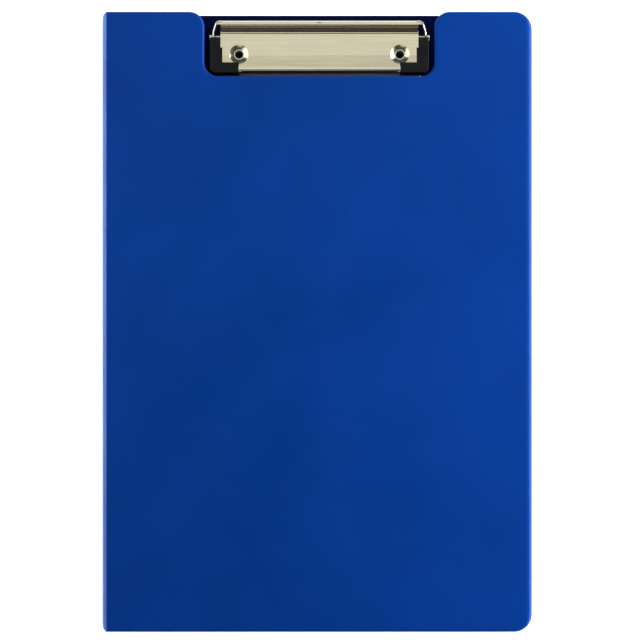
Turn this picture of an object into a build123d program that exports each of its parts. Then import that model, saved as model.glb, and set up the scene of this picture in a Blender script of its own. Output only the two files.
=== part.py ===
from build123d import *
import os
from math import cos, pi, radians, sin, sqrt

# A fold-over clipboard folder: two plastic covers joined by a spine strip with living hinges,
# and a sprung steel clip riveted to the back cover. It is modelled closed and lying on its back:
# +X away from the spine, +Y towards the clip, +Z up, origin under the middle. Millimetres.

# Folder sheet
panel_width = 232.9
panel_length = 340.0
sheet = 2.5
paper_gap = 8.0
corner_radius = 9.75
outer_round = 1.7
inner_round = 0.4

# Living hinges, pressed thin between the panels
crease_radius = 2.7
crease_web = 0.6
crease_sink = 0.2

# Cut-out in the front cover, around the clip
window_side_gap = 2.4
window_front_gap = 1.7
window_mouth_radius = 8.5
window_corner_radius = 7.5

# Clear pocket inside the front cover
pocket_margin = 12.0
pocket_low_side = 150.0
pocket_high_side = 205.0
pocket_hem = 4.0
pocket_depth = 0.4
film = 0.3

# Clip, measured from the pivot: u sideways from its middle, v towards the clip's rear
clip_margin = 4.9
clip_height = 9.1
rod_length = 121.2
rod_radius = 1.2
rod_head_radius = 1.7
rod_head_length = 1.0
rod_head_round = 0.27
rod_proud = 1.8
pivot_height = 3.7
lug_clearance = 0.02
ear_clearance = 0.05
jaw_rest_gap = 0.3

# Base plate
base_sheet = 0.8
base_front = 20.5
base_side_inset = 0.7
base_rear = 5.5
base_corner_radius = 3.5
base_edge_round = 0.5
lug_top_radius = 2.6
lug_gap = 0.2
base_neck = 4.5
rear_flange_height = 1.6
rear_flange_inset = 4.0

# Jaw plate, bent from one steel sheet
jaw_sheet = 1.0
tail_reach = 8.6
jaw_reach = 19.4
panel_inset = 4.6
panel_waist = 1.0
waist_reach = 6.3
lip_curl = 1.5
lip_inner = 5.9
trough_centre = 3.75
trough_depth = 2.9
trough_radius = 1.2
shoulder = 1.6
bend_radius = 0.9
front_bend_radius = 0.7
front_drop = 0.2
drop_slope = 6.5
front_flat = 2.4
drop_radius = 12.0
flange_taper = 2.0
flange_corner_radius = 3.1
flange_bend_radius = 4.0
flange_edge_round = 0.9
ear_boss_radius = 2.5
ear_rear_angle = 35.0
ear_front_angle = 50.0
dish_radius = 5.25
dish_depth = 0.9
dish_sag = 0.06
dish_lap = 0.2
access_radius = 2.3
access_rim = 0.4

# Corner grips
grip_side_skin = 1.2
grip_front_skin = 0.7
grip_top_skin = 1.3
grip_proud = 0.1
grip_pad = 1.4
grip_pad_lip = 1.2
grip_foot_length = 16.0
grip_foot_slant = 0.7
grip_foot_depth = 5.0
grip_rear = 0.9
grip_rear_skin = 0.4
grip_corner_radius = 3.2
grip_edge_round = 0.6
rod_relief = 0.5

# Torsion springs on the rod
spring_wire = 0.9
spring_radius = 2.2
spring_turns = 5
spring_pitch = 1.4
spring_offset = 30.0
spring_leg = 4.6
spring_leg_angle = 10.0

# Rivets and washers
rivet_inset = 14.7
rivet_behind_jaw = 9.4
rivet_radius = 1.7
rivet_head_radius = 3.25
rivet_head_thickness = 0.5
rivet_roll_radius = 2.8
rivet_roll_height = 0.6
rivet_roll_round = 0.27
rivet_bore_radius = 1.0
rivet_bore_depth = 2.4
rivet_recess = 0.1
rivet_hole_gap = 0.05
washer_radius = 4.5
washer_thickness = 0.5
washer_gap = 0.1

# Derived places
thickness = 2 * sheet + paper_gap
middle = Plane.XY.offset(thickness / 2)
spine_x = -(panel_width + crease_radius) / 2
board_left = spine_x + crease_radius
board_right = board_left + panel_width
clip_x = (board_left + board_right) / 2
lip_y = panel_length / 2 - clip_margin
pivot_y = lip_y - tail_reach
base_top = sheet + base_sheet
pivot_z = base_top + pivot_height
panel_top = base_top + clip_height
jaw_bottom = base_top + jaw_rest_gap
flange_side = rod_length / 2 - rod_proud
panel_half = flange_side - panel_inset
base_width = 2 * (flange_side - base_side_inset)
grip_front = jaw_reach + grip_front_skin
grip_side = flange_side + grip_side_skin
waist_half = panel_half - panel_waist
drop_end = jaw_reach - front_flat
drop_start = drop_end - drop_slope
foot_inner = grip_side - grip_foot_length
foot_top = jaw_reach - grip_foot_depth
grip_top = panel_top + grip_proud
ledge_top = grip_top - grip_top_skin
ledge_bottom = ledge_top - jaw_sheet
pad_top = jaw_bottom + grip_pad
window_width = rod_length + 2 * window_side_gap
window_depth = clip_margin + tail_reach + grip_front + window_front_gap
rivet_u = flange_side - rivet_inset
rivet_v = rivet_behind_jaw - jaw_reach
rivet_y = pivot_y + rivet_v
lug_side = waist_half - jaw_sheet - lug_gap
clip_middle = Plane.YZ.offset(clip_x)
beyond = 2.0
tolerance = 0.01


def plan(z):
    """A plane seen from above at height z, with its origin over the middle of the pivot."""
    return Plane((clip_x, pivot_y, z))


def side(u):
    """An upright plane at u along the clip: its x is v, its y is height."""
    return Plane(origin=(clip_x + u, pivot_y, 0), x_dir=(0, 1, 0), z_dir=(1, 0, 0))


def rivet_section():
    """An upright plane through a rivet's axis: its x is the radius, its y is height."""
    return Plane(origin=(clip_x + rivet_u, rivet_y, 0), x_dir=(1, 0, 0), z_dir=(0, -1, 0))


def round_panel(outer_face, inner_face):
    """Rounds a cover's edges, all but those along its crease."""
    for face, radius in ((outer_face, outer_round), (inner_face, inner_round)):
        edges = [e for e in face.edges() if (e @ 0.5).X > board_left + tolerance]
        fillet(edges, radius)


# The outline of one cover, with its two free corners rounded
with BuildSketch() as panel_outline:
    with Locations((clip_x, 0)):
        Rectangle(panel_width, panel_length)
    fillet([v for v in panel_outline.vertices() if v.X > clip_x], corner_radius)

# The back cover, with a recess under each rivet
with BuildPart() as back_board:
    with BuildSketch():
        add(panel_outline.sketch_local)
    extrude(amount=sheet)
    faces = back_board.faces().filter_by(Axis.Z).sort_by(Axis.Z)
    round_panel(faces[0], faces[-1])
    recess_depth = rivet_recess + rivet_head_thickness + washer_thickness
    for side_sign in (-1, 1):
        with BuildSketch():
            with Locations((clip_x + side_sign * rivet_u, rivet_y)):
                Circle(washer_radius + washer_gap)
        extrude(amount=recess_depth, mode=Mode.SUBTRACT)
        with BuildSketch():
            with Locations((clip_x + side_sign * rivet_u, rivet_y)):
                Circle(rivet_radius + rivet_hole_gap)
        extrude(amount=sheet, mode=Mode.SUBTRACT)

# The strip between the covers
with BuildPart() as spine_panel:
    with BuildSketch(Plane.YZ.offset(spine_x)):
        with Locations((0, thickness / 2)):
            Rectangle(panel_length - 2 * crease_radius, thickness - 2 * crease_radius)
    extrude(amount=sheet)
    ends = spine_panel.faces().filter_by(Axis.Y).edges().filter_by(Axis.Z)
    fillet(ends.group_by(Axis.X)[0], outer_round)
    fillet(spine_panel.faces().filter_by(Axis.X).sort_by(Axis.X)[-1].edges().filter_by(Axis.Z), inner_round)

# The thin web between back cover and spine, a quarter turn with its ends cut at 45 degrees
with BuildPart() as back_crease:
    web_outer = crease_radius - crease_sink
    web_inner = web_outer - crease_web
    with BuildSketch(Plane.XZ):
        with BuildLine():
            outer = CenterArc((board_left, crease_radius), web_outer, 180, 90)
            inner = CenterArc((board_left, crease_radius), web_inner, 180, 90)
            Line(outer @ 0, inner @ 0)
            Line(outer @ 1, inner @ 1)
        make_face()
    extrude(amount=panel_length / 2, both=True)
    with BuildSketch():
        with BuildLine():
            Polyline(
                (board_left, panel_length / 2),
                (spine_x, panel_length / 2 - crease_radius),
                (spine_x - beyond, panel_length / 2 + beyond),
                (board_left, panel_length / 2 + beyond),
                close=True,
            )
        make_face()
        mirror(about=Plane.XZ)
    extrude(amount=thickness, mode=Mode.SUBTRACT)

with BuildPart() as front_crease:
    mirror(back_crease.part, about=middle)

# The front cover, cut out around the clip
with BuildPart() as front_cover:
    with BuildSketch(Plane.XY.offset(thickness - sheet)) as cover_outline:
        add(panel_outline.sketch_local)
        with Locations((clip_x, panel_length / 2 - window_depth / 2 + beyond / 2)):
            Rectangle(window_width, window_depth + beyond, mode=Mode.SUBTRACT)
        window = [v for v in cover_outline.vertices() if abs(v.X - clip_x) < window_width / 2 + tolerance]
        fillet([v for v in window if v.Y > panel_length / 2 - tolerance], window_mouth_radius)
        low = panel_length / 2 - window_depth
        fillet([v for v in cover_outline.vertices() if abs(v.Y - low) < tolerance], window_corner_radius)
    extrude(amount=sheet)
    faces = front_cover.faces().filter_by(Axis.Z).sort_by(Axis.Z)
    round_panel(faces[-1], faces[0])

# Clear film pocket, raised on a welded hem along its two sides and its bottom
with BuildPart() as inner_pocket:
    pocket_left = board_left + pocket_margin
    pocket_right = board_right - pocket_margin
    pocket_bottom = pocket_margin - panel_length / 2
    corners = [
        (pocket_left, pocket_bottom),
        (pocket_right, pocket_bottom),
        (pocket_right, pocket_bottom + pocket_high_side),
        (pocket_left, pocket_bottom + pocket_low_side),
    ]
    with BuildSketch(Plane.XY.offset(thickness - sheet)):
        with BuildLine():
            Polyline(*corners, close=True)
        make_face()
    extrude(amount=-(film + pocket_depth))
    with BuildSketch(Plane.XY.offset(thickness - sheet)):
        with BuildLine():
            Polyline(
                (pocket_left + pocket_hem, pocket_bottom + pocket_hem),
                (pocket_right - pocket_hem, pocket_bottom + pocket_hem),
                (pocket_right - pocket_hem, pocket_bottom + 2 * pocket_high_side),
                (pocket_left + pocket_hem, pocket_bottom + 2 * pocket_high_side),
                close=True,
            )
        make_face()
    extrude(amount=-pocket_depth, mode=Mode.SUBTRACT)

# Steel base plate: a wide front under the jaw, a narrower rear with a lug on each side
with BuildPart() as clip_base:
    with BuildSketch(plan(sheet)) as base_outline:
        with Locations((0, -(base_front + base_neck) / 2)):
            Rectangle(base_width, base_front - base_neck)
        fillet(base_outline.vertices().group_by(Axis.Y)[0], base_corner_radius)
        with Locations((0, (base_rear - base_neck) / 2)):
            Rectangle(2 * lug_side, base_rear + base_neck)
    extrude(amount=base_sheet)
    top_edges = clip_base.faces().sort_by(Axis.Z)[-1].edges()
    front_edges = [e for e in top_edges if (e @ 0.5).Y < pivot_y - base_neck - tolerance]
    fillet(front_edges, base_edge_round)
    for start in (lug_side - base_sheet, -lug_side):
        with BuildSketch(side(start)):
            with Locations((0, (sheet + pivot_z) / 2)):
                Rectangle(2 * lug_top_radius, pivot_z - sheet)
            with Locations((0, pivot_z)):
                Circle(lug_top_radius)
                Circle(rod_radius + lug_clearance, mode=Mode.SUBTRACT)
        extrude(amount=base_sheet)
    with BuildSketch(plan(sheet)):
        with Locations((0, base_rear - base_sheet / 2)):
            Rectangle(2 * (lug_side - rear_flange_inset), base_sheet)
    extrude(amount=base_sheet + rear_flange_height)
    for side_sign in (-1, 1):
        with BuildSketch(plan(sheet)):
            with Locations((side_sign * rivet_u, rivet_v)):
                Circle(rivet_radius + rivet_hole_gap)
        extrude(amount=base_sheet, mode=Mode.SUBTRACT)

# The pivot rod, headed at both ends
with BuildPart() as pivot_rod:
    with BuildSketch(side(-rod_length / 2)):
        with Locations((0, pivot_z)):
            Circle(rod_radius)
    extrude(amount=rod_length)
    for start in (-rod_length / 2, rod_length / 2 - rod_head_length):
        with BuildSketch(side(start)):
            with Locations((0, pivot_z)):
                Circle(rod_head_radius)
        extrude(amount=rod_head_length)
    tips = pivot_rod.edges().filter_by(GeomType.CIRCLE).group_by(Axis.X)
    fillet(tips[0] + tips[-1], rod_head_round)

# Rear, side and front outline of the jaw plate's flanges, one half of it
with BuildSketch() as flange_outline:
    with BuildLine():
        FilletPolyline(
            (0, tail_reach),
            (flange_side - flange_taper, tail_reach),
            (flange_side, lip_inner - trough_centre),
            (flange_side, -jaw_reach),
            (0, -jaw_reach),
            radius=[0, flange_corner_radius, flange_bend_radius, 0, 0],
            close=True,
        )
    make_face()

# The jaw plate's side flange: an ear around the pivot, running from the lip to the front corner
with BuildPart() as jaw_flange:
    with BuildSketch(plan(0)):
        add(flange_outline.sketch_local)
        offset(amount=-jaw_sheet, mode=Mode.SUBTRACT)
    extrude(amount=panel_top)
    top_edges = jaw_flange.faces().sort_by(Axis.Z)[-1].outer_wire().edges()
    outer_edges = [
        e
        for e in top_edges
        if (e @ 0.5).X > clip_x + tolerance and (e @ 0.5).Y > pivot_y - jaw_reach + tolerance
    ]
    fillet(outer_edges, flange_edge_round)
    rear_angle = radians(ear_rear_angle)
    front_angle = radians(ear_front_angle)
    with BuildSketch(side(panel_half - jaw_sheet)):
        with BuildLine():
            Polyline(
                (tail_reach, panel_top),
                (tail_reach, panel_top - lip_curl),
                (ear_boss_radius * sin(rear_angle), pivot_z - ear_boss_radius * cos(rear_angle)),
                (0, pivot_z),
                (-ear_boss_radius, pivot_z),
                (-ear_boss_radius * sin(front_angle), ledge_top),
                (shoulder - jaw_sheet, panel_top),
                close=True,
            )
        make_face()
        with Locations((0, pivot_z)):
            Circle(ear_boss_radius)
        with Locations((-jaw_reach / 2, (pad_top + ledge_top) / 2)):
            Rectangle(jaw_reach, ledge_top - pad_top)
    extrude(amount=flange_side, mode=Mode.INTERSECT)


# The L-shaped corner grip seen from above, on the right, before its outer corner is rounded
with BuildSketch() as grip_outline:
    with BuildLine():
        Polyline(
            (foot_inner, -foot_top),
            (waist_half, -foot_top),
            (waist_half, -waist_reach),
            (panel_half, -waist_reach),
            (panel_half, -grip_rear),
            (grip_side, -grip_rear),
            (grip_side, -grip_front),
            (foot_inner + grip_foot_slant, -grip_front),
            close=True,
        )
    make_face()


def dish_surface(z_shift):
    """The curve of a dished access hole, from its rim in to its floor."""
    rim = (dish_radius, panel_top + z_shift)
    floor = (access_radius + access_rim, panel_top - dish_depth + z_shift)
    sag = ((rim[0] + floor[0]) / 2, (rim[1] + floor[1]) / 2 - dish_sag)
    return rim, sag, floor


# The jaw plate: thumb lip, trough, raised panel and jaw in one bent sheet, half of it, then mirrored
with BuildPart() as jaw_plate:
    mid = panel_top - jaw_sheet / 2
    front_mid = -(jaw_reach - jaw_sheet / 2)
    with BuildSketch(side(0)):
        with BuildLine():
            FilletPolyline(
                (tail_reach - jaw_sheet / 2, panel_top - lip_curl),
                (tail_reach - jaw_sheet / 2, mid),
                (lip_inner, mid),
                (trough_centre, mid - trough_depth),
                (shoulder, mid),
                (-drop_start, mid),
                (-drop_end, mid - front_drop),
                (front_mid, mid - front_drop),
                (front_mid, jaw_bottom),
                radius=[
                    bend_radius,
                    bend_radius,
                    trough_radius,
                    bend_radius,
                    drop_radius,
                    drop_radius,
                    front_bend_radius,
                ],
            )
        trace(line_width=jaw_sheet)
    extrude(amount=panel_half)
    # Dished hole over the rivet
    with BuildSketch(plan(panel_top)):
        with Locations((rivet_u, rivet_v)):
            Circle(dish_radius)
    extrude(amount=-jaw_sheet, mode=Mode.SUBTRACT)
    with BuildSketch(rivet_section()):
        with BuildLine():
            top = ThreePointArc(*dish_surface(0))
            low = ThreePointArc(*dish_surface(-jaw_sheet))
            Polyline(
                top @ 0,
                (dish_radius + dish_lap, panel_top),
                (dish_radius + dish_lap, panel_top - jaw_sheet),
                low @ 0,
            )
            Polyline(
                top @ 1,
                (access_radius, panel_top - dish_depth),
                (access_radius, panel_top - dish_depth - jaw_sheet),
                low @ 1,
            )
        make_face()
    revolve(axis=Axis((clip_x + rivet_u, rivet_y, 0), (0, 0, 1)))
    # Narrow front corner, joggled down to a ledge under the grip
    with BuildSketch(plan(0)):
        add(grip_outline.sketch_local)
    extrude(amount=grip_top, mode=Mode.SUBTRACT)
    with BuildSketch(plan(ledge_bottom)):
        with BuildLine():
            Polyline(
                (foot_inner - jaw_sheet, -jaw_reach),
                (foot_inner - jaw_sheet, jaw_sheet - foot_top),
                (waist_half - jaw_sheet, jaw_sheet - foot_top),
                (waist_half - jaw_sheet, jaw_sheet - waist_reach),
                (waist_half, jaw_sheet - waist_reach),
                (waist_half, -grip_rear - grip_rear_skin),
                (flange_side, -grip_rear - grip_rear_skin),
                (flange_side, -jaw_reach),
                close=True,
            )
        make_face()
    extrude(amount=jaw_sheet)
    with BuildSketch(plan(ledge_top)):
        with BuildLine():
            Polyline(
                (foot_inner - jaw_sheet, -jaw_reach),
                (foot_inner - jaw_sheet, jaw_sheet - foot_top),
                (waist_half - jaw_sheet, jaw_sheet - foot_top),
                (waist_half - jaw_sheet, jaw_sheet - waist_reach),
                (waist_half, jaw_sheet - waist_reach),
                (waist_half, -grip_rear - grip_rear_skin),
                (panel_half, -grip_rear - grip_rear_skin),
                (panel_half, -waist_reach),
                (waist_half, -waist_reach),
                (waist_half, -foot_top),
                (foot_inner, -foot_top),
                (foot_inner, -jaw_reach),
                close=True,
            )
        make_face()
    extrude(amount=mid - front_drop - ledge_top)
    with BuildSketch(rivet_section()):
        with BuildLine():
            top = ThreePointArc(*dish_surface(0))
            Polyline(
                top @ 0,
                (0, panel_top),
                (0, panel_top - dish_depth),
                top @ 1,
            )
        make_face()
    revolve(axis=Axis((clip_x + rivet_u, rivet_y, 0), (0, 0, 1)), mode=Mode.SUBTRACT)
    with BuildSketch(plan(0)):
        with Locations((rivet_u, rivet_v)):
            Circle(access_radius)
    extrude(amount=panel_top, mode=Mode.SUBTRACT)
    # Front wall behind the grip, side flange, and the lip's rounded outer corner
    with BuildSketch(plan(pad_top)):
        with Locations(((foot_inner + flange_side) / 2 - jaw_sheet / 2, -jaw_reach + jaw_sheet / 2)):
            Rectangle(flange_side - foot_inner + jaw_sheet, jaw_sheet)
    extrude(amount=ledge_top - pad_top)
    add(jaw_flange.part)
    with BuildSketch(plan(panel_top)):
        add(flange_outline.sketch_local)
        offset(amount=-flange_edge_round)
        with Locations((0, lip_inner + jaw_sheet / 2)):
            Rectangle(2 * flange_side, 2 * tail_reach, align=(Align.CENTER, Align.MIN), mode=Mode.INTERSECT)
    extrude(amount=-jaw_sheet)
    with BuildSketch(side(panel_half - jaw_sheet)):
        with Locations((0, pivot_z)):
            Circle(rod_radius + ear_clearance)
    extrude(amount=flange_side, mode=Mode.SUBTRACT)
    mirror(about=clip_middle)

# Plastic caps over the jaw's front corners, hollow under the ledge, with a pad along the edge
with BuildPart() as right_grip:
    with BuildSketch(plan(jaw_bottom)) as grip_plan:
        add(grip_outline.sketch_local)
        fillet(grip_plan.vertices().sort_by(Axis.X)[-2:].sort_by(Axis.Y)[0], grip_corner_radius)
    extrude(amount=grip_top - jaw_bottom)
    rim = right_grip.faces().sort_by(Axis.Z)[-1].edges()
    outer_rim = [
        e
        for e in rim
        if (e @ 0.5).X > clip_x + flange_side or (e @ 0.5).Y < pivot_y - jaw_reach
    ]
    fillet(outer_rim, grip_edge_round)
    for low, high, lip in ((pad_top, ledge_bottom, 0), (jaw_bottom, pad_top, grip_pad_lip)):
        hollow_side = flange_side - jaw_sheet - lip
        hollow_front = jaw_reach - jaw_sheet - lip
        with BuildSketch(plan(low)):
            with Locations((hollow_side / 2, -hollow_front / 2 + beyond)):
                Rectangle(hollow_side, hollow_front + 2 * beyond)
        extrude(amount=high - low, mode=Mode.SUBTRACT)
    with BuildSketch(side(0)):
        with Locations((0, pivot_z)):
            Circle(rod_head_radius + rod_relief)
    extrude(amount=rod_length, mode=Mode.SUBTRACT)
    add(jaw_plate.part, mode=Mode.SUBTRACT)

with BuildPart() as left_grip:
    mirror(right_grip.part, about=clip_middle)


def helix_point(angle, start_angle, start_u):
    """A point on the spring's coil after turning by angle, both in degrees, and its direction there."""
    phi = radians(start_angle - angle)
    rise = spring_pitch / (2 * pi)
    steep = sqrt(spring_radius**2 + rise**2)
    point = Vector(
        clip_x + start_u + rise * radians(angle),
        pivot_y + spring_radius * cos(phi),
        pivot_z + spring_radius * sin(phi),
    )
    direction = Vector(rise, spring_radius * sin(phi), -spring_radius * cos(phi)) / steep
    return point, direction


def biarc(start, start_direction, end, end_direction):
    """Two arcs that leave start and reach end in the given directions."""
    chord = end - start
    total = start_direction + end_direction
    bend = 2 * (1 - start_direction.dot(end_direction))
    reach = (sqrt(chord.dot(total) ** 2 + bend * chord.dot(chord)) - chord.dot(total)) / bend
    joint = (start + start_direction * reach + end - end_direction * reach) / 2
    first = TangentArc(start, joint, tangent=start_direction)
    TangentArc(joint, end, tangent=first % 1)


# Torsion springs: both legs point to the rear, one on the base plate and one under the trough
coil_start = -90 - spring_leg_angle
coil_turn = 360 * spring_turns + 180
with BuildPart() as right_spring:
    with BuildLine() as spring_path:
        quarter = 90
        steps = coil_turn // quarter
        spots = [helix_point(i * quarter, coil_start, spring_offset) for i in range(steps + 1)]
        Line(spots[0][0] - spots[0][1] * spring_leg, spots[0][0])
        for here, there in zip(spots, spots[1:]):
            biarc(*here, *there)
        Line(spots[-1][0], spots[-1][0] + spots[-1][1] * spring_leg)
    path = spring_path.wire()
    with BuildSketch(Plane(path @ 0, z_dir=path % 0)):
        Circle(spring_wire / 2)
    sweep(path=path)

with BuildPart() as left_spring:
    mirror(right_spring.part, about=clip_middle)

# Semi-tubular rivets, with their heads let into the back cover and their ends rolled over the plate
with BuildPart() as clip_rivets:
    head_top = rivet_recess + rivet_head_thickness
    roll_top = base_top + rivet_roll_height
    with BuildSketch(rivet_section()):
        with BuildLine():
            Polyline(
                (0, rivet_recess),
                (rivet_head_radius, rivet_recess),
                (rivet_head_radius, head_top),
                (rivet_radius, head_top),
                (rivet_radius, base_top),
                (rivet_roll_radius, base_top),
                (rivet_roll_radius, roll_top),
                (rivet_bore_radius, roll_top),
                (rivet_bore_radius, roll_top - rivet_bore_depth),
                (0, roll_top - rivet_bore_depth),
                close=True,
            )
        make_face()
    revolve(axis=Axis((clip_x + rivet_u, rivet_y, 0), (0, 0, 1)))
    rolled = clip_rivets.faces().sort_by(Axis.Z)[-1].edges()
    fillet(rolled, rivet_roll_round)
    mirror(about=clip_middle)

with BuildPart() as rivet_washers:
    with BuildSketch(Plane.XY.offset(rivet_recess + rivet_head_thickness)):
        for side_sign in (-1, 1):
            with Locations((clip_x + side_sign * rivet_u, rivet_y)):
                Circle(washer_radius)
                Circle(rivet_radius + rivet_hole_gap, mode=Mode.SUBTRACT)
    extrude(amount=washer_thickness)

pieces = {
    "back_board": back_board,
    "spine_panel": spine_panel,
    "front_cover": front_cover,
    "back_crease": back_crease,
    "front_crease": front_crease,
    "inner_pocket": inner_pocket,
    "clip_base": clip_base,
    "jaw_plate": jaw_plate,
    "pivot_rod": pivot_rod,
    "left_grip": left_grip,
    "right_grip": right_grip,
    "left_spring": left_spring,
    "right_spring": right_spring,
    "clip_rivets": clip_rivets,
    "rivet_washers": rivet_washers,
}
os.makedirs("parts", exist_ok=True)
for name, piece in pieces.items():
    piece.part.label = name
    export_step(piece.part, f"parts/{name}.step")

wire_gap = spring_pitch - spring_wire
print(f"least gap between spring turns {wire_gap:.2f} mm")
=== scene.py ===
from math import cos, hypot, pi, radians, sin

import bmesh
import bpy
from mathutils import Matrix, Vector


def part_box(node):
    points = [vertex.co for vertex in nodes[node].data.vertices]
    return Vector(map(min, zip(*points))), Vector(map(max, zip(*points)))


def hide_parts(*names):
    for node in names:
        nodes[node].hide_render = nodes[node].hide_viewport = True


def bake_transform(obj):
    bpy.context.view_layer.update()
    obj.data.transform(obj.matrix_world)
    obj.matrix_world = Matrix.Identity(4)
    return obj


# A fold-over clipboard folder, closed, lying on its back and seen from straight above.
# Lengths are in metres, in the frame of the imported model: +X away from the spine, +Y towards the clip, +Z up.

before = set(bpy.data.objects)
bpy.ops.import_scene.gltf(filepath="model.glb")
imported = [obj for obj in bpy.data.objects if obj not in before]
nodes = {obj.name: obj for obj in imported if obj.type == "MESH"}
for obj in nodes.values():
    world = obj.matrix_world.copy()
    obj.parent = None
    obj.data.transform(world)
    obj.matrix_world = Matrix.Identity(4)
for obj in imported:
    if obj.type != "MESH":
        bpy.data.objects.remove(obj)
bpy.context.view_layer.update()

MM = 0.001

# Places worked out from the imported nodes
board_low, board_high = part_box("back_board")
cover_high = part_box("front_cover")[1]
jaw_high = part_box("jaw_plate")[1]
rod_low, rod_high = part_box("pivot_rod")
web_low, web_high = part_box("back_crease")
middle_z = (board_low.z + cover_high.z) / 2
pivot = (rod_low + rod_high) / 2

# Living hinge, as pressed: its web's thickness, its steps around the quarter turn and along the crease, and how
# far inside the panels it starts and ends to bend
CREASE_WEB = 0.6 * MM
CREASE_SEGMENTS = 20
CREASE_STEPS = 68
CREASE_SHARP_DEGREES = 40

# Shading of the covers' free edge, matched to the photograph. It is bump only: the mesh has a plain round there,
# so a height of 0 leaves the shape as it is and narrows the bright edge.
EDGE_FALL_WIDTH = 3.5 * MM
EDGE_FALL_MM = 1.1

# Where the plate is given painted shade: a brown painted dark reflection in the trough, and a grey painted shade
# on the low base plate. The trough starts below the jaw's top and stops short of its sides, and the base plate lies
# low. Each pair is the range over which the painted tone changes.
TROUGH_DEPTH = (1.0 * MM, 1.7 * MM)
TROUGH_SIDE_GAP = (4.0 * MM, 4.4 * MM)
BASE_TOP = (4.0 * MM, 4.5 * MM)

# Torsion springs, as in the solid model
SPRING_WIRE = 0.9 * MM
SPRING_RADIUS = 2.2 * MM
SPRING_TURNS = 5.5
SPRING_PITCH = 1.4 * MM
SPRING_OFFSET = 30.0 * MM
SPRING_LEG = 4.6 * MM
SPRING_LEG_ANGLE = 10.0
SPRING_LEG_STEPS = 4
SPRING_STEPS_PER_TURN = 36
SPRING_SIDES = 14
SPRING_SHARP_DEGREES = 50

# Floor, just under the folder, wide enough for every view
FLOOR_HALF_WIDTH = 30.0
FLOOR_DROP = 0.05 * MM

# Camera, at the photograph's viewing angle: straight above the folder
SENSOR = 36.0
CAMERA_LENS = 73.97
CAMERA_PLACE = (0.00164, 0.00099, 0.7325)


def linear(hex_colour):
    """An sRGB hex colour as the linear RGBA that the shaders take."""
    channels = [int(hex_colour[i : i + 2], 16) / 255 for i in (1, 3, 5)]
    return tuple(c / 12.92 if c <= 0.04045 else ((c + 0.055) / 1.055) ** 2.4 for c in channels) + (1.0,)


def add_node(tree, kind, links=(), **settings):
    """Adds a shader node. Settings are its properties, or its sockets' values when given by name as 'in_NAME'.
    Links are (output socket, input socket name or number) pairs."""
    node = tree.nodes.new(kind)
    for name, value in settings.items():
        if name.startswith("in_"):
            key = name[3:]
            node.inputs[int(key) if key.isdigit() else key.replace("_", " ")].default_value = value
        else:
            setattr(node, name, value)
    for output, key in links:
        tree.links.new(output, node.inputs[key])
    return node


def new_material(name):
    """A node material with its Principled shader, and its object coordinates in metres."""
    material = bpy.data.materials.new(name)
    material.use_nodes = True
    tree = material.node_tree
    shader = tree.nodes["Principled BSDF"]
    place = add_node(tree, "ShaderNodeTexCoord").outputs["Object"]
    return material, tree, shader, place


def noise(tree, place, grain_mm, detail=3.0, roughness=0.55, stretch=None):
    """Noise whose features are about grain_mm across. Stretch makes them longer along an axis."""
    vector = place
    if stretch:
        vector = add_node(tree, "ShaderNodeVectorMath", [(place, 0)], operation="MULTIPLY", in_1=stretch).outputs[0]
    return add_node(
        tree,
        "ShaderNodeTexNoise",
        [(vector, "Vector")],
        in_Scale=1 / (grain_mm * MM),
        in_Detail=detail,
        in_Roughness=roughness,
    ).outputs["Fac"]


def remap(tree, value, low, high, from_low=0.35, from_high=0.65):
    """Maps a pattern's middle range to low..high, and holds it there."""
    return add_node(
        tree,
        "ShaderNodeMapRange",
        [(value, "Value")],
        **{"in_From_Min": from_low, "in_From_Max": from_high, "in_To_Min": low, "in_To_Max": high},
    ).outputs["Result"]


def two_tone(tree, factor, first, second):
    """A colour between two hex colours."""
    return add_node(
        tree,
        "ShaderNodeMix",
        [(factor, 0)],
        data_type="RGBA",
        in_6=linear(first),
        in_7=linear(second),
    ).outputs[2]


def bump(tree, shader, heights):
    """Stacks bumps on the shader's normal. Heights are (pattern, real height in mm, strength)."""
    normal = None
    for pattern, height_mm, strength in heights:
        links = [(pattern, "Height")]
        if normal:
            links.append((normal, "Normal"))
        node = add_node(tree, "ShaderNodeBump", links, in_Strength=strength, in_Distance=height_mm * MM)
        normal = node.outputs["Normal"]
    tree.links.new(normal, shader.inputs["Normal"])


def calendered_polypropylene(name, first, second, satin_low, satin_high, sheen, free_edge):
    """Extruded polypropylene sheet from satin calender rolls: an even colour with a soft sheen, a very fine
    roll grain, faint draw lines along the sheet, and a little rubbing where hands have polished it. The shading
    widens the bright edge at free_edge, to match the photograph. What causes it on the real sheet isn't known."""
    material, tree, shader, place = new_material(name)
    shade = noise(tree, place, 60.0, detail=2.0)
    draw_lines = noise(tree, place, 5.0, detail=4.0, stretch=(1.0, 0.06, 1.0))
    roll_grain = noise(tree, place, 0.5, detail=2.0)
    rubbing = noise(tree, place, 22.0, detail=5.0, roughness=0.6)
    tree.links.new(two_tone(tree, remap(tree, shade, 0.0, 1.0), first, second), shader.inputs["Base Color"])
    tree.links.new(remap(tree, rubbing, satin_low, satin_high), shader.inputs["Roughness"])
    across = add_node(tree, "ShaderNodeSeparateXYZ", [(place, 0)]).outputs["X"]
    near_edge = remap(tree, across, 0.0, 1.0, free_edge - EDGE_FALL_WIDTH, free_edge)
    fall = add_node(tree, "ShaderNodeMath", [(near_edge, 0)], operation="POWER", in_1=2.0).outputs[0]
    height = add_node(tree, "ShaderNodeMath", [(fall, 1)], operation="SUBTRACT", in_0=1.0).outputs[0]
    bump(tree, shader, [(height, EDGE_FALL_MM, 1.0), (roll_grain, 0.02, 0.25), (draw_lines, 0.02, 0.15)])
    shader.inputs["IOR"].default_value = 1.49
    shader.inputs["Specular IOR Level"].default_value = sheen
    return material


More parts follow.
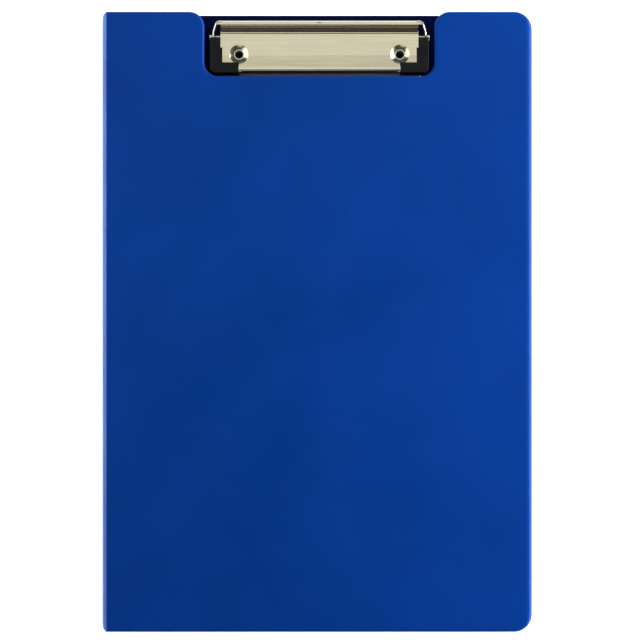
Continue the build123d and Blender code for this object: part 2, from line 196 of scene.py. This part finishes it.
def blue_sheet():
    """The cover's and the spine's sheet."""
    return calendered_polypropylene(
        "blue_polypropylene_satin_calendered", "#043C8F", "#064099", 0.34, 0.42, 0.08, cover_high.x
    )


def board_sheet():
    """The writing board's sheet, of the same make and coloured darker."""
    return calendered_polypropylene(
        "navy_polypropylene_satin_calendered", "#000A34", "#000C3C", 0.36, 0.44, 0.05, board_high.x
    )


def creased_sheet():
    """Polypropylene pressed thin in a living hinge, with a gloss in fine lines along the fold. Its pale blue is a
    painted highlight: the sheen of light on the rounded fold, painted into the colour."""
    material, tree, shader, place = new_material("blue_polypropylene_painted_highlight")
    along = noise(tree, place, 3.0, detail=4.0, stretch=(1.0, 0.03, 1.0))
    painted_highlight_patches = noise(tree, place, 14.0, detail=3.0, stretch=(1.0, 0.4, 1.0))
    # Painted highlight: the two pale blues stand for light on the rounded fold.
    tree.links.new(two_tone(tree, remap(tree, painted_highlight_patches, 0.0, 1.0), "#4E7CD2", "#6290DE"), shader.inputs["Base Color"])
    tree.links.new(remap(tree, along, 0.26, 0.36), shader.inputs["Roughness"])
    bump(tree, shader, [(along, 0.03, 0.3)])
    shader.inputs["IOR"].default_value = 1.49
    shader.inputs["Specular IOR Level"].default_value = 0.4
    return material


def clear_film():
    """Cast polypropylene film: glass-clear, with a slight drape and a haze of fine scratches."""
    material, tree, shader, place = new_material("clear_polypropylene_cast_film")
    drape = noise(tree, place, 45.0, detail=2.0, stretch=(1.0, 0.4, 1.0))
    scratches = noise(tree, place, 1.2, detail=5.0, stretch=(1.0, 0.12, 1.0))
    tree.links.new(remap(tree, scratches, 0.05, 0.14), shader.inputs["Roughness"])
    bump(tree, shader, [(drape, 0.6, 0.3), (scratches, 0.01, 0.2)])
    shader.inputs["Base Color"].default_value = linear("#EEF3F8")
    shader.inputs["IOR"].default_value = 1.45
    shader.inputs["Alpha"].default_value = 0.16
    return material


def nickel_plate():
    """Bright nickel over cold-rolled steel: a warm silver mirror, softened by faint rolling lines along the
    clip and slight waves in the thin sheet. The trough's brown is a painted dark reflection and the base plate's
    grey is painted shade, both set by position to match the photograph."""
    material, tree, shader, place = new_material("nickel_plated_rolled_steel")
    rolling = noise(tree, place, 0.6, detail=3.0, stretch=(0.02, 1.0, 1.0))
    pressing = noise(tree, place, 34.0, detail=1.0, stretch=(0.5, 1.0, 1.0))
    tint = noise(tree, place, 26.0, detail=2.0, stretch=(0.5, 1.0, 1.0))
    parts = add_node(tree, "ShaderNodeSeparateXYZ", [(place, 0)]).outputs
    deep = remap(tree, parts["Z"], 1.0, 0.0, jaw_high.z - TROUGH_DEPTH[1], jaw_high.z - TROUGH_DEPTH[0])
    # The low base plate: painted shade in its colour, and a duller roughness.
    low = remap(tree, parts["Z"], 1.0, 0.0, *BASE_TOP)
    sideways = add_node(tree, "ShaderNodeMath", [(parts["X"], 0)], operation="SUBTRACT", in_1=pivot.x).outputs[0]
    sideways = add_node(tree, "ShaderNodeMath", [(sideways, 0)], operation="ABSOLUTE").outputs[0]
    half_jaw = jaw_high.x - pivot.x
    between = remap(tree, sideways, 1.0, 0.0, half_jaw - TROUGH_SIDE_GAP[1], half_jaw - TROUGH_SIDE_GAP[0])
    # The trough's mask: where a brown painted dark reflection goes.
    trough_painted_reflection = add_node(tree, "ShaderNodeMath", [(deep, 0), (between, 1)], operation="MULTIPLY").outputs[0]
    plate = two_tone(tree, remap(tree, tint, 0.0, 1.0), "#E0DAB9", "#DAD5B8")
    # Painted shade: brown for the trough's dark reflection, grey for the low base plate.
    for where, tone in ((trough_painted_reflection, "#8F7D76"), (low, "#B9BCBE")):
        plate = add_node(
            tree, "ShaderNodeMix", [(where, 0), (plate, 6)], data_type="RGBA", in_7=linear(tone)
        ).outputs[2]
    tree.links.new(plate, shader.inputs["Base Color"])
    satin = add_node(tree, "ShaderNodeMix", [(low, 0), (remap(tree, rolling, 0.15, 0.2), 2)], in_3=0.5).outputs[0]
    tree.links.new(satin, shader.inputs["Roughness"])
    bump(tree, shader, [(rolling, 0.002, 0.1), (pressing, 0.1, 0.5)])
    shader.inputs["Metallic"].default_value = 1.0
    return material


def moulded_black():
    """Injection-moulded black plastic with a fine spark-eroded texture and slightly polished high spots."""
    material, tree, shader, place = new_material("black_plastic_injection_moulded")
    spark = noise(tree, place, 0.35, detail=2.0)
    handled = noise(tree, place, 6.0, detail=3.0)
    tree.links.new(two_tone(tree, remap(tree, handled, 0.0, 1.0), "#0B0D0F", "#101315"), shader.inputs["Base Color"])
    tree.links.new(remap(tree, handled, 0.42, 0.52), shader.inputs["Roughness"])
    bump(tree, shader, [(spark, 0.02, 0.35)])
    shader.inputs["IOR"].default_value = 1.5
    shader.inputs["Specular IOR Level"].default_value = 0.2
    return material


def spring_wire():
    """Hard-drawn spring wire, darker than the plate, with draw marks along it."""
    material, tree, shader, place = new_material("spring_steel_drawn_wire")
    draw_marks = noise(tree, place, 0.3, detail=3.0, stretch=(0.2, 1.0, 1.0))
    tree.links.new(
        two_tone(tree, remap(tree, draw_marks, 0.0, 1.0), "#8D8A82", "#A5A29A"), shader.inputs["Base Color"]
    )
    tree.links.new(remap(tree, draw_marks, 0.24, 0.38), shader.inputs["Roughness"])
    bump(tree, shader, [(draw_marks, 0.005, 0.3)])
    shader.inputs["Metallic"].default_value = 1.0
    return material


def rivet_lacquer():
    """Dip-lacquered rivet: navy enamel with a gloss coat, a little thinner in patches."""
    material, tree, shader, place = new_material("navy_lacquered_steel")
    patches = noise(tree, place, 1.5, detail=3.0)
    tree.links.new(two_tone(tree, remap(tree, patches, 0.0, 1.0), "#0A2278", "#102E94"), shader.inputs["Base Color"])
    tree.links.new(remap(tree, patches, 0.25, 0.4), shader.inputs["Roughness"])
    bump(tree, shader, [(patches, 0.02, 0.2)])
    shader.inputs["IOR"].default_value = 1.52
    return material


def plain_washer():
    """Pressed zinc-plated washer: dull grey with a tumbled surface."""
    material, tree, shader, place = new_material("zinc_plated_pressed_steel")
    tumbled = noise(tree, place, 0.8, detail=4.0)
    tree.links.new(two_tone(tree, remap(tree, tumbled, 0.0, 1.0), "#B4B6B8", "#C6C8C9"), shader.inputs["Base Color"])
    tree.links.new(remap(tree, tumbled, 0.3, 0.45), shader.inputs["Roughness"])
    bump(tree, shader, [(tumbled, 0.01, 0.3)])
    shader.inputs["Metallic"].default_value = 1.0
    return material


def paint(node_names, material):
    """Gives CAD nodes one material."""
    for name in node_names:
        mesh = nodes[name].data
        mesh.materials.clear()
        mesh.materials.append(material)


def mesh_object(name, work, material, smooth=True):
    """Turns a bmesh into a named piece."""
    bmesh.ops.recalc_face_normals(work, faces=work.faces)
    mesh = bpy.data.meshes.new(name)
    work.to_mesh(mesh)
    work.free()
    for polygon in mesh.polygons:
        polygon.use_smooth = smooth
    mesh.materials.append(material)
    piece = bpy.data.objects.new(name, mesh)
    bpy.context.scene.collection.objects.link(piece)
    return piece


def crease_web(name, node, upper, material):
    """A living hinge's web, a quarter turn from a cover's edge to the spine, with its ends cut at 45 degrees."""
    corner_x = web_high.x
    radius = web_high.x - web_low.x
    centre_z = web_high.z
    half_length = web_high.y
    work = bmesh.new()
    rows = []
    for i in range(CREASE_SEGMENTS + 1):
        angle = radians(180 + 90 * i / CREASE_SEGMENTS)
        for inner in (0.0, CREASE_WEB):
            x = corner_x + (radius - inner) * cos(angle)
            z = centre_z + (radius - inner) * sin(angle)
            if upper:
                z = 2 * middle_z - z
            end = half_length - (corner_x - x)
            rows.append(
                [work.verts.new((x, -end + 2 * end * k / CREASE_STEPS, z)) for k in range(CREASE_STEPS + 1)]
            )
    outer, inner = rows[0::2], rows[1::2]
    for skin in (outer, inner):
        for one, two in zip(skin, skin[1:]):
            for k in range(CREASE_STEPS):
                work.faces.new((one[k], one[k + 1], two[k + 1], two[k]))
    for one, two in ((outer[0], inner[0]), (outer[-1], inner[-1])):
        for k in range(CREASE_STEPS):
            work.faces.new((one[k], one[k + 1], two[k + 1], two[k]))
    for k in (0, CREASE_STEPS):
        for i in range(CREASE_SEGMENTS):
            work.faces.new((outer[i][k], outer[i + 1][k], inner[i + 1][k], inner[i][k]))
    piece = mesh_object(name, work, material)
    piece.data.set_sharp_from_angle(angle=radians(CREASE_SHARP_DEGREES))
    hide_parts(node)
    if upper:
        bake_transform(piece)
    else:
        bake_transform(piece)
    return piece


def spring_line(side):
    """The wire's centre line, leg, coil and leg, with each point's direction."""
    rise = SPRING_PITCH / (2 * pi)
    steep = hypot(SPRING_RADIUS, rise)

    def spot(turned):
        phi = radians(-90 - SPRING_LEG_ANGLE) - turned
        point = Vector((
            side * (SPRING_OFFSET + rise * turned),
            SPRING_RADIUS * cos(phi),
            SPRING_RADIUS * sin(phi),
        ))
        direction = Vector((side * rise, SPRING_RADIUS * sin(phi), -SPRING_RADIUS * cos(phi))) / steep
        return pivot + point, direction

    steps = int(SPRING_TURNS * SPRING_STEPS_PER_TURN)
    coil = [spot(2 * pi * SPRING_TURNS * i / steps) for i in range(steps + 1)]
    start, start_direction = coil[0]
    end, end_direction = coil[-1]
    reaches = [SPRING_LEG * i / SPRING_LEG_STEPS for i in range(1, SPRING_LEG_STEPS + 1)]
    leg_in = [(start - start_direction * reach, start_direction) for reach in reversed(reaches)]
    leg_out = [(end + end_direction * reach, end_direction) for reach in reaches]
    return leg_in + coil + leg_out


def torsion_spring(name, node, side, material):
    """One torsion spring as a swept wire, with a base leg and a trough leg."""
    work = bmesh.new()
    rings = []
    for point, direction in spring_line(side):
        across = direction.cross(Vector((1, 0, 0))).normalized()
        up = across.cross(direction)
        ring = []
        for k in range(SPRING_SIDES):
            angle = 2 * pi * k / SPRING_SIDES
            ring.append(work.verts.new(point + (across * cos(angle) + up * sin(angle)) * SPRING_WIRE / 2))
        rings.append(ring)
    for one, two in zip(rings, rings[1:]):
        for k in range(SPRING_SIDES):
            n = (k + 1) % SPRING_SIDES
            work.faces.new((one[k], one[n], two[n], two[k]))
    work.faces.new(rings[0])
    work.faces.new(rings[-1])
    piece = mesh_object(name, work, material)
    piece.data.set_sharp_from_angle(angle=radians(SPRING_SHARP_DEGREES))
    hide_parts(node)
    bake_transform(piece)
    return piece


def lit_table():
    """The pale floor, lit evenly like a white light table."""
    material, _, shader, _ = new_material("white_light_table")
    shader.inputs["Base Color"].default_value = linear("#F2F2F2")
    shader.inputs["Roughness"].default_value = 0.9
    shader.inputs["Emission Color"].default_value = linear("#FFFFFF")
    shader.inputs["Emission Strength"].default_value = 0.85
    work = bmesh.new()
    bmesh.ops.create_grid(work, x_segments=1, y_segments=1, size=FLOOR_HALF_WIDTH)
    floor = mesh_object("floor", work, material, smooth=False)
    floor.location.z = -FLOOR_DROP


def area_light(name, place, aim, width, height, power, colour="#FFFFFF"):
    """A soft rectangular light at place that faces aim."""
    data = bpy.data.lights.new(name, "AREA")
    data.shape = "RECTANGLE"
    data.size = width
    data.size_y = height
    data.energy = power
    data.color = linear(colour)[:3]
    light = bpy.data.objects.new(name, data)
    light.location = place
    light.visible_camera = False
    light.rotation_euler = (Vector(aim) - Vector(place)).to_track_quat("-Z", "Y").to_euler()
    bpy.context.scene.collection.objects.link(light)


def studio():
    """Plain soft studio light: a low strip and a box on the right, a box on the left, a weaker one past the
    clip's end, and three higher up for the clip to mirror."""
    area_light("right_strip", (0.45, 0.0, 0.045), (0.115, 0, 0.012), 0.8, 0.07, 6.0, "#DFE7FF")
    area_light("right_box", (0.60, 0.16, 0.42), (0.05, 0.06, 0), 0.7, 0.35, 3.9)
    area_light("left_box", (-0.80, 0.28, 0.35), (-0.05, 0.08, 0), 0.8, 0.4, 3.6, "#E6ECFF")
    area_light("rear_box", (0.0, 0.78, 0.22), (0.0, 0.16, 0.01), 0.7, 0.30, 0.8)
    area_light("clip_box", (0.0, 0.42, 1.30), (0.0, 0.15, 0), 0.7, 0.30, 0.6)
    area_light("clip_left_box", (-0.66, 0.20, 0.88), (0.0, 0.15, 0), 0.9, 0.5, 2.2)
    area_light("clip_front_box", (-0.35, -1.15, 1.75), (0.0, 0.15, 0), 0.9, 0.6, 1.2)
    world = bpy.data.worlds.new("studio_world")
    bpy.context.scene.world = world
    world.use_nodes = True
    tree = world.node_tree
    background = tree.nodes["Background"]
    background.inputs["Color"].default_value = linear("#F2E9EC")
    background.inputs["Strength"].default_value = 0.08


def camera():
    """Straight down on the folder, its long side upright in the picture."""
    data = bpy.data.cameras.new("camera")
    data.sensor_width = SENSOR
    data.lens = CAMERA_LENS
    eye = bpy.data.objects.new("camera", data)
    eye.location = CAMERA_PLACE
    bpy.context.scene.collection.objects.link(eye)
    bpy.context.scene.camera = eye


camera()
studio()
lit_table()
bpy.context.scene.view_settings.view_transform = "Standard"

creased = creased_sheet()
wire = spring_wire()
paint(["front_cover", "spine_panel"], blue_sheet())
paint(["back_board"], board_sheet())
paint(["inner_pocket"], clear_film())
paint(["clip_base", "jaw_plate", "pivot_rod"], nickel_plate())
paint(["left_grip", "right_grip"], moulded_black())
paint(["clip_rivets"], rivet_lacquer())
paint(["rivet_washers"], plain_washer())

crease_web("back_crease_web", "back_crease", False, creased)
crease_web("front_crease_web", "front_crease", True, creased)
torsion_spring("left_spring_wire", "left_spring", -1, wire)
torsion_spring("right_spring_wire", "right_spring", 1, wire)
